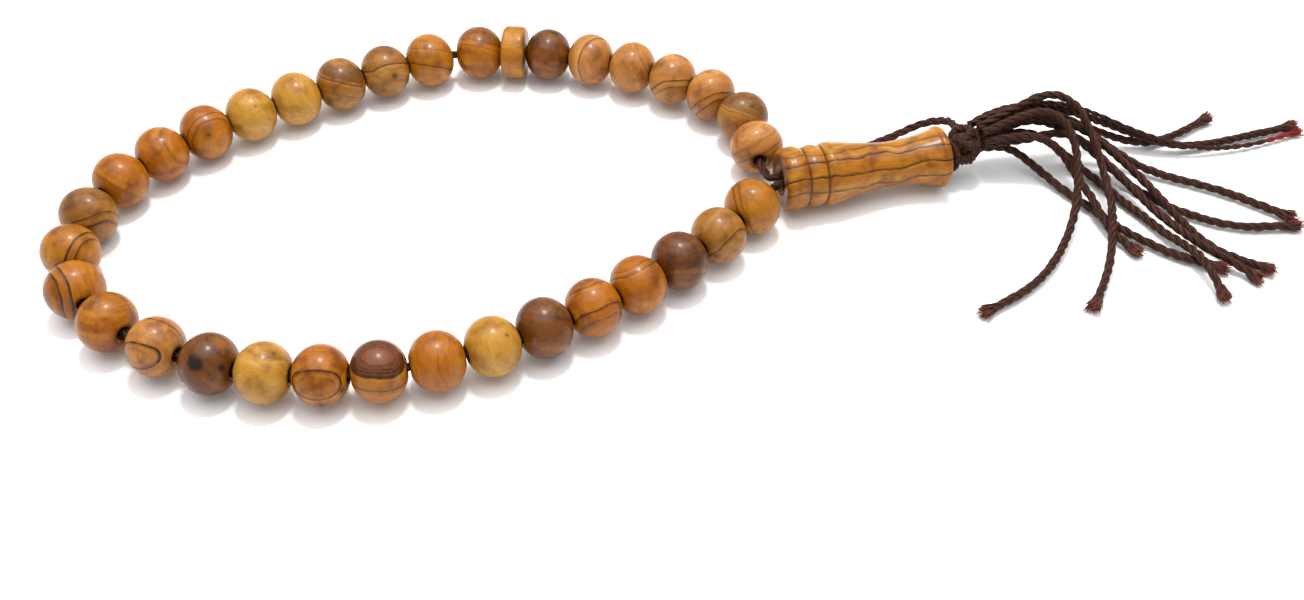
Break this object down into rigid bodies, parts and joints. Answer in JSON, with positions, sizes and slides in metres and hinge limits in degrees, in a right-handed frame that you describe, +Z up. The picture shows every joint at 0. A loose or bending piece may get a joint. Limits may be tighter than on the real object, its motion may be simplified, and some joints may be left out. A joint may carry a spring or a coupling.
{
  "type": "prayer beads",
  "caption": "Misbaha prayer beads lying flat: a closed loop of turned wooden beads with a marker disc, a long turned head bead, a knot and a tassel of loose cords.",
  "frame": {"origin": "centre of the underside of the loop, head bead and knot, on the table they lie on", "axes": "+Z up from the table; +X towards the head bead and tassel end; +Y towards the back of the loop"},
  "size_m": [0.2305, 0.0952, 0.0149],
  "materials": {
    "olive_wood": "gloss",
    "olive_wood_dark": "gloss",
    "olive_wood_pale": "gloss",
    "imame_wood": "gloss",
    "twisted_cord": "satin"
  },
  "bodies": {
    "head_cord": {"cord_legs": "twisted_cord", "knot": "twisted_cord", "tassel_strand_13": "twisted_cord"},
    "front_run": {"cord_front": "twisted_cord"},
    "left_run": {"cord_left": "twisted_cord"},
    "back_run": {"cord_back": "twisted_cord"},
    "right_run": {"cord_right": "twisted_cord"},
    "imame": {"imame": "imame_wood"},
    "tassel": {"tassel_strand_01": "twisted_cord", "tassel_strand_02": "twisted_cord", "tassel_strand_03": "twisted_cord", "tassel_strand_04": "twisted_cord", "tassel_strand_05": "twisted_cord", "tassel_strand_06": "twisted_cord", "tassel_strand_07": "twisted_cord", "tassel_strand_08": "twisted_cord", "tassel_strand_09": "twisted_cord", "tassel_strand_10": "twisted_cord", "tassel_strand_11": "twisted_cord", "tassel_strand_12": "twisted_cord"},
    "bead_01": {"bead_01": "olive_wood"},
    "bead_02": {"bead_02": "olive_wood_pale"},
    "bead_03": {"bead_03": "olive_wood_dark"},
    "bead_04": {"bead_04": "olive_wood"},
    "bead_05": {"bead_05": "olive_wood"},
    "bead_06": {"bead_06": "olive_wood_dark"},
    "bead_07": {"bead_07": "olive_wood_pale"},
    "bead_08": {"bead_08": "olive_wood"},
    "bead_09": {"bead_09": "olive_wood_dark"},
    "bead_10": {"bead_10": "olive_wood"},
    "bead_11": {"bead_11": "olive_wood_pale"},
    "bead_12": {"bead_12": "olive_wood"},
    "bead_13": {"bead_13": "olive_wood"},
    "bead_14": {"bead_14": "olive_wood"},
    "bead_15": {"bead_15": "olive_wood"},
    "bead_16": {"bead_16": "olive_wood"},
    "bead_17": {"bead_17": "olive_wood_dark"},
    "bead_18": {"bead_18": "olive_wood"},
    "bead_19": {"bead_19": "olive_wood"},
    "bead_20": {"bead_20": "olive_wood"},
    "bead_21": {"bead_21": "olive_wood_pale"},
    "bead_22": {"bead_22": "olive_wood_pale"},
    "bead_23": {"bead_23": "olive_wood"},
    "bead_24": {"bead_24": "olive_wood"},
    "bead_25": {"bead_25": "olive_wood"},
    "bead_26": {"bead_26": "olive_wood"},
    "marker_disc": {"marker_disc": "olive_wood_pale"},
    "bead_27": {"bead_27": "olive_wood_dark"},
    "bead_28": {"bead_28": "olive_wood"},
    "bead_29": {"bead_29": "olive_wood"},
    "bead_30": {"bead_30": "olive_wood"},
    "bead_31": {"bead_31": "olive_wood"},
    "bead_32": {"bead_32": "olive_wood_dark"},
    "bead_33": {"bead_33": "olive_wood"}
  },
  "joints": [
    {"name": "loop_swing", "type": "hinge", "parent": "head_cord", "child": "front_run", "pos_m": [0.04245, 0.00155, 0.005], "axis": [0, 0, 1], "range_deg": [-5, 12]},
    {"name": "left_flex", "type": "hinge", "parent": "front_run", "child": "left_run", "pos_m": [-0.01695, -0.04025, 0.005], "axis": [0, 0, 1], "range_deg": [-1, 12]},
    {"name": "back_flex", "type": "hinge", "parent": "left_run", "child": "back_run", "pos_m": [-0.0764, 0.00045, 0.005], "axis": [0, 0, 1], "range_deg": [-12, 1]},
    {"name": "right_flex", "type": "hinge", "parent": "back_run", "child": "right_run", "pos_m": [-0.017, 0.04225, 0.005], "axis": [0, 0, 1], "range_deg": [-1, 12]},
    {"name": "tassel_swing", "type": "hinge", "parent": "head_cord", "child": "tassel", "pos_m": [0.0795, 0.0129, 0.0066], "axis": [0, 0, 1], "range_deg": [-15, 5]},
    {"name": "imame_spin", "type": "hinge", "parent": "head_cord", "child": "imame", "pos_m": [0.0451, 0.0038, 0.00585], "axis": [0.9722, 0.2334, -0.0161], "continuous": true},
    {"name": "bead_01_spin", "type": "hinge", "parent": "front_run", "child": "bead_01", "pos_m": [0.03981, -0.00248, 0.005], "axis": [0.6038, 0.7971, 0], "continuous": true},
    {"name": "bead_02_spin", "type": "hinge", "parent": "front_run", "child": "bead_02", "pos_m": [0.03361, -0.00981, 0.005], "axis": [0.7022, 0.712, 0], "continuous": true},
    {"name": "bead_03_spin", "type": "hinge", "parent": "front_run", "child": "bead_03", "pos_m": [0.02671, -0.01607, 0.005], "axis": [0.7614, 0.6483, 0], "continuous": true},
    {"name": "bead_04_spin", "type": "hinge", "parent": "front_run", "child": "bead_04", "pos_m": [0.01967, -0.02186, 0.005], "axis": [0.7904, 0.6126, 0], "continuous": true},
    {"name": "bead_05_spin", "type": "hinge", "parent": "front_run", "child": "bead_05", "pos_m": [0.01222, -0.02712, 0.005], "axis": [0.8421, 0.5393, 0], "continuous": true},
    {"name": "bead_06_spin", "type": "hinge", "parent": "front_run", "child": "bead_06", "pos_m": [0.00435, -0.03171, 0.005], "axis": [0.8812, 0.4728, 0], "continuous": true},
    {"name": "bead_07_spin", "type": "hinge", "parent": "front_run", "child": "bead_07", "pos_m": [-0.0038, -0.03578, 0.005], "axis": [0.9123, 0.4095, 0], "continuous": true},
    {"name": "bead_08_spin", "type": "hinge", "parent": "front_run", "child": "bead_08", "pos_m": [-0.01245, -0.03899, 0.005], "axis": [0.9583, 0.2858, 0], "continuous": true},
    {"name": "bead_09_spin", "type": "hinge", "parent": "left_run", "child": "bead_09", "pos_m": [-0.02154, -0.04114, 0.005], "axis": [-0.9858, -0.1682, 0], "continuous": true},
    {"name": "bead_10_spin", "type": "hinge", "parent": "left_run", "child": "bead_10", "pos_m": [-0.0307, -0.04193, 0.005], "axis": [-1, -0.0041, 0], "continuous": true},
    {"name": "bead_11_spin", "type": "hinge", "parent": "left_run", "child": "bead_11", "pos_m": [-0.03989, -0.04139, 0.005], "axis": [-0.993, 0.1182, 0], "continuous": true},
    {"name": "bead_12_spin", "type": "hinge", "parent": "left_run", "child": "bead_12", "pos_m": [-0.04894, -0.03954, 0.005], "axis": [-0.9587, 0.2843, 0], "continuous": true},
    {"name": "bead_13_spin", "type": "hinge", "parent": "left_run", "child": "bead_13", "pos_m": [-0.05836, -0.0359, 0.005], "axis": [-0.9091, 0.4165, 0], "continuous": true},
    {"name": "bead_14_spin", "type": "hinge", "parent": "left_run", "child": "bead_14", "pos_m": [-0.06767, -0.03047, 0.005], "axis": [-0.7917, 0.611, 0], "continuous": true},
    {"name": "bead_15_spin", "type": "hinge", "parent": "left_run", "child": "bead_15", "pos_m": [-0.075, -0.02304, 0.005], "axis": [-0.5821, 0.8131, 0], "continuous": true},
    {"name": "bead_16_spin", "type": "hinge", "parent": "left_run", "child": "bead_16", "pos_m": [-0.07823, -0.01401, 0.005], "axis": [-0.0637, 0.998, 0], "continuous": true},
    {"name": "bead_17_spin", "type": "hinge", "parent": "left_run", "child": "bead_17", "pos_m": [-0.07759, -0.00468, 0.005], "axis": [0.1771, 0.9842, 0], "continuous": true},
    {"name": "bead_18_spin", "type": "hinge", "parent": "back_run", "child": "bead_18", "pos_m": [-0.07432, 0.0046, 0.005], "axis": [0.502, 0.8649, 0], "continuous": true},
    {"name": "bead_19_spin", "type": "hinge", "parent": "back_run", "child": "bead_19", "pos_m": [-0.06852, 0.01194, 0.005], "axis": [0.6879, 0.7258, 0], "continuous": true},
    {"name": "bead_20_spin", "type": "hinge", "parent": "back_run", "child": "bead_20", "pos_m": [-0.06171, 0.0182, 0.005], "axis": [0.7873, 0.6166, 0], "continuous": true},
    {"name": "bead_21_spin", "type": "hinge", "parent": "back_run", "child": "bead_21", "pos_m": [-0.05423, 0.0234, 0.005], "axis": [0.8427, 0.5384, 0], "continuous": true},
    {"name": "bead_22_spin", "type": "hinge", "parent": "back_run", "child": "bead_22", "pos_m": [-0.04648, 0.02821, 0.005], "axis": [0.8568, 0.5156, 0], "continuous": true},
    {"name": "bead_23_spin", "type": "hinge", "parent": "back_run", "child": "bead_23", "pos_m": [-0.03857, 0.03275, 0.005], "axis": [0.8797, 0.4755, 0], "continuous": true},
    {"name": "bead_24_spin", "type": "hinge", "parent": "back_run", "child": "bead_24", "pos_m": [-0.03042, 0.03683, 0.005], "axis": [0.9066, 0.422, 0], "continuous": true},
    {"name": "bead_25_spin", "type": "hinge", "parent": "back_run", "child": "bead_25", "pos_m": [-0.02206, 0.04046, 0.005], "axis": [0.9325, 0.3611, 0], "continuous": true},
    {"name": "bead_26_spin", "type": "hinge", "parent": "right_run", "child": "bead_26", "pos_m": [-0.0124, 0.04296, 0.005], "axis": [0.9952, 0.0979, 0], "continuous": true},
    {"name": "marker_disc_spin", "type": "hinge", "parent": "right_run", "child": "marker_disc", "pos_m": [-0.00532, 0.04299, 0.005], "axis": [0.9975, -0.0701, 0], "continuous": true},
    {"name": "bead_27_spin", "type": "hinge", "parent": "right_run", "child": "bead_27", "pos_m": [0.00137, 0.04229, 0.005], "axis": [0.9905, -0.1375, 0], "continuous": true},
    {"name": "bead_28_spin", "type": "hinge", "parent": "right_run", "child": "bead_28", "pos_m": [0.00985, 0.04067, 0.005], "axis": [0.9715, -0.2372, 0], "continuous": true},
    {"name": "bead_29_spin", "type": "hinge", "parent": "right_run", "child": "bead_29", "pos_m": [0.01816, 0.03802, 0.005], "axis": [0.9278, -0.373, 0], "continuous": true},
    {"name": "bead_30_spin", "type": "hinge", "parent": "right_run", "child": "bead_30", "pos_m": [0.02603, 0.0343, 0.005], "axis": [0.8769, -0.4807, 0], "continuous": true},
    {"name": "bead_31_spin", "type": "hinge", "parent": "right_run", "child": "bead_31", "pos_m": [0.03338, 0.02947, 0.005], "axis": [0.7882, -0.6154, 0], "continuous": true},
    {"name": "bead_32_spin", "type": "hinge", "parent": "right_run", "child": "bead_32", "pos_m": [0.03921, 0.0226, 0.005], "axis": [0.4466, -0.8947, 0], "continuous": true},
    {"name": "bead_33_spin", "type": "hinge", "parent": "right_run", "child": "bead_33", "pos_m": [0.04144, 0.01393, 0.005], "axis": [0.0887, -0.9961, 0], "continuous": true}
  ],
  "couplings": [
    {"joint": "back_flex", "follows": "left_flex", "ratio": -1},
    {"joint": "right_flex", "follows": "left_flex", "ratio": 1}
  ]
}
